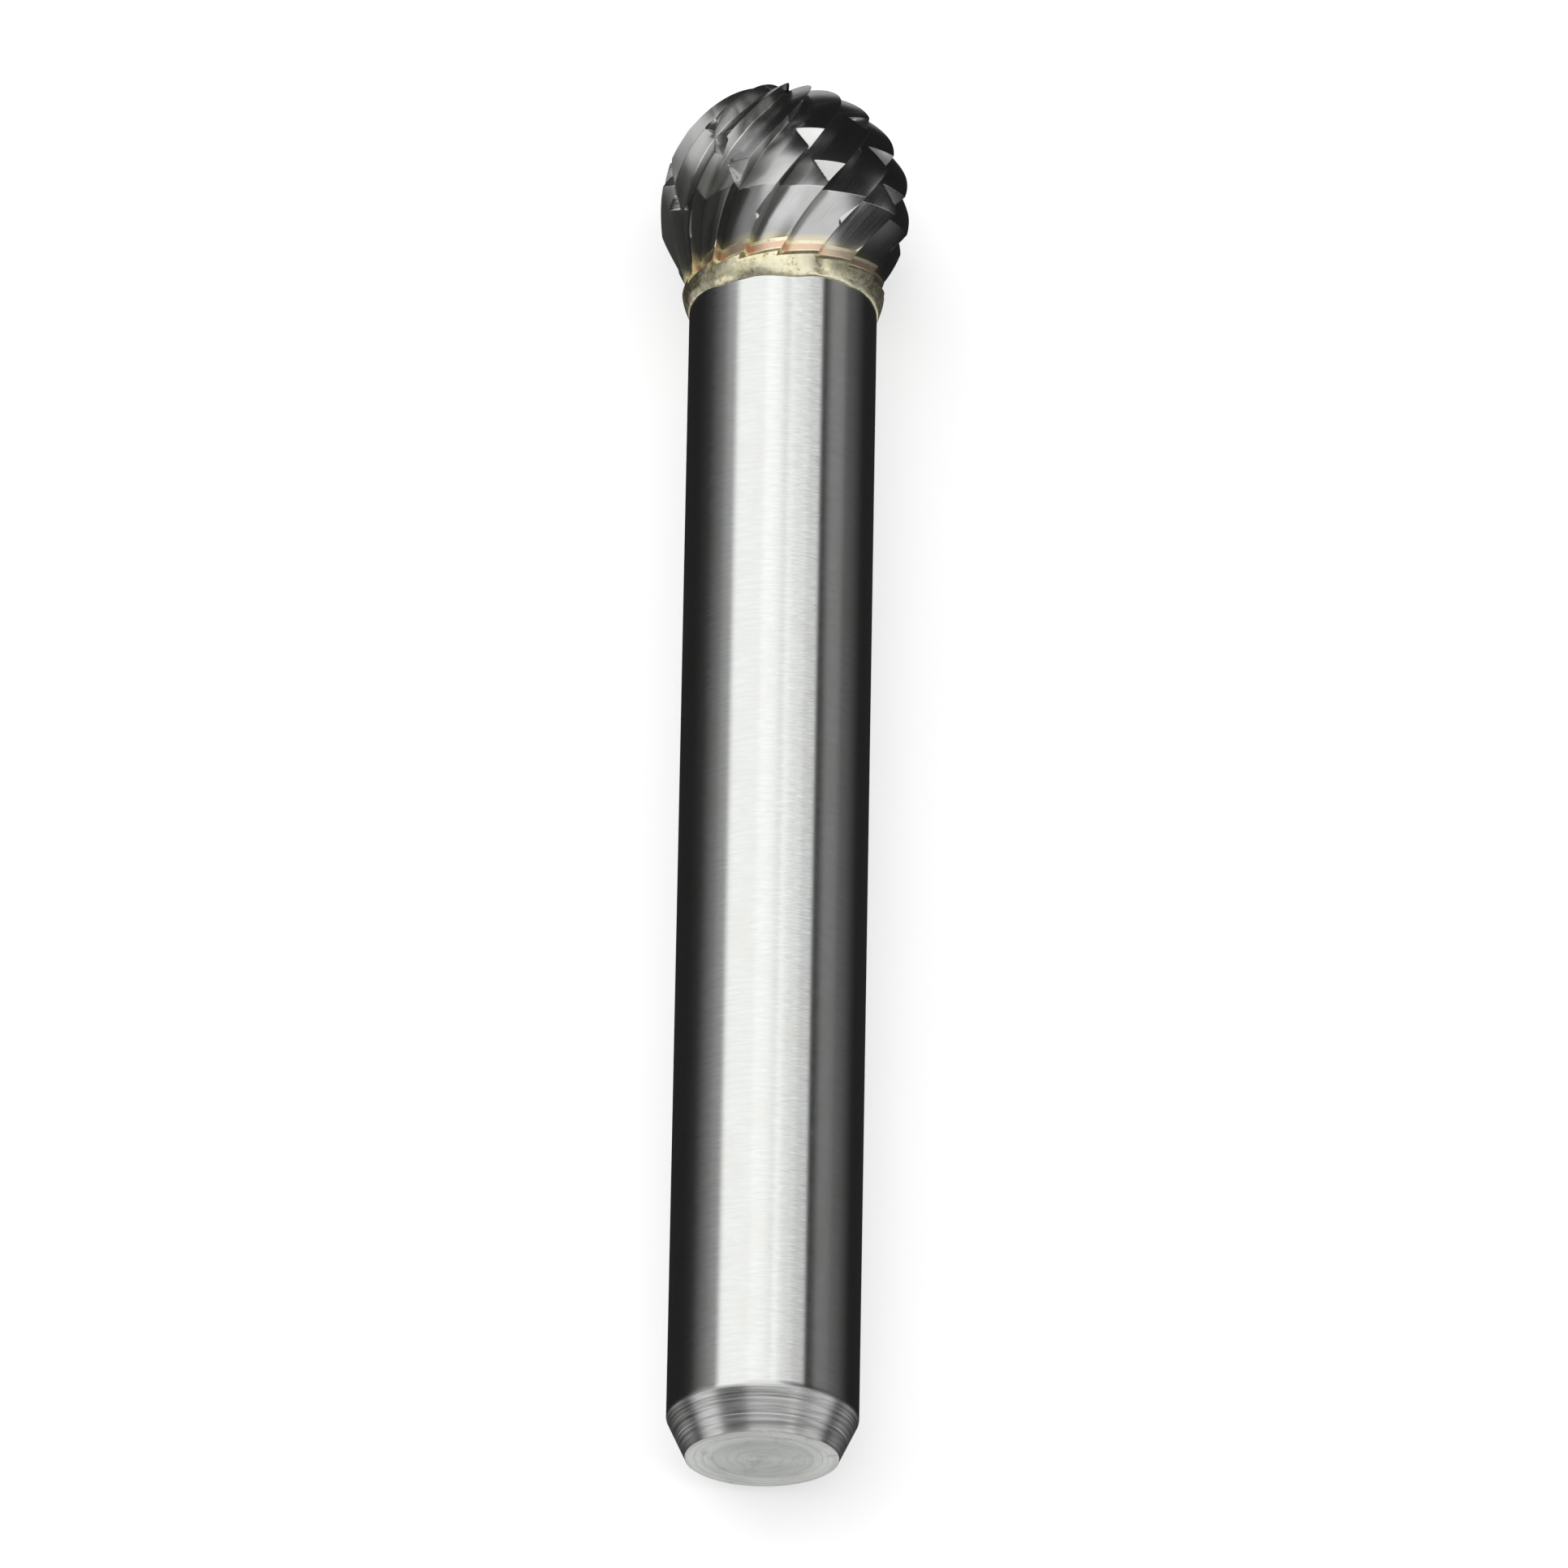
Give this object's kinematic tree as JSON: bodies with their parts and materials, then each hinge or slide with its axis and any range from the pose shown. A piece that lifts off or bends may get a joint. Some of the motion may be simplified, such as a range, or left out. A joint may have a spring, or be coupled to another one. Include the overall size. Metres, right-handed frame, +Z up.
{
  "type": "rotary burr",
  "caption": "Ball-shaped carbide rotary burr with right-hand helical teeth, brazed onto a plain round steel shank.",
  "frame": {"origin": "centre of the shank's flat end face, where the axis leaves the shank", "axes": "+Y along the tool's axis, from the shank's end to the tip of the ball; +Z up and +X to the right with the tool lying flat"},
  "size_m": [0.008, 0.047, 0.008],
  "materials": {
    "carbide": "ground",
    "silver_braze": "satin",
    "copper": "satin",
    "ground_steel": "satin"
  },
  "bodies": {
    "root": {"cutting_head": "carbide", "upper_braze_layer": "silver_braze", "copper_shim": "copper", "braze_collar": "silver_braze", "steel_shank": "ground_steel"}
  },
  "joints": []
}
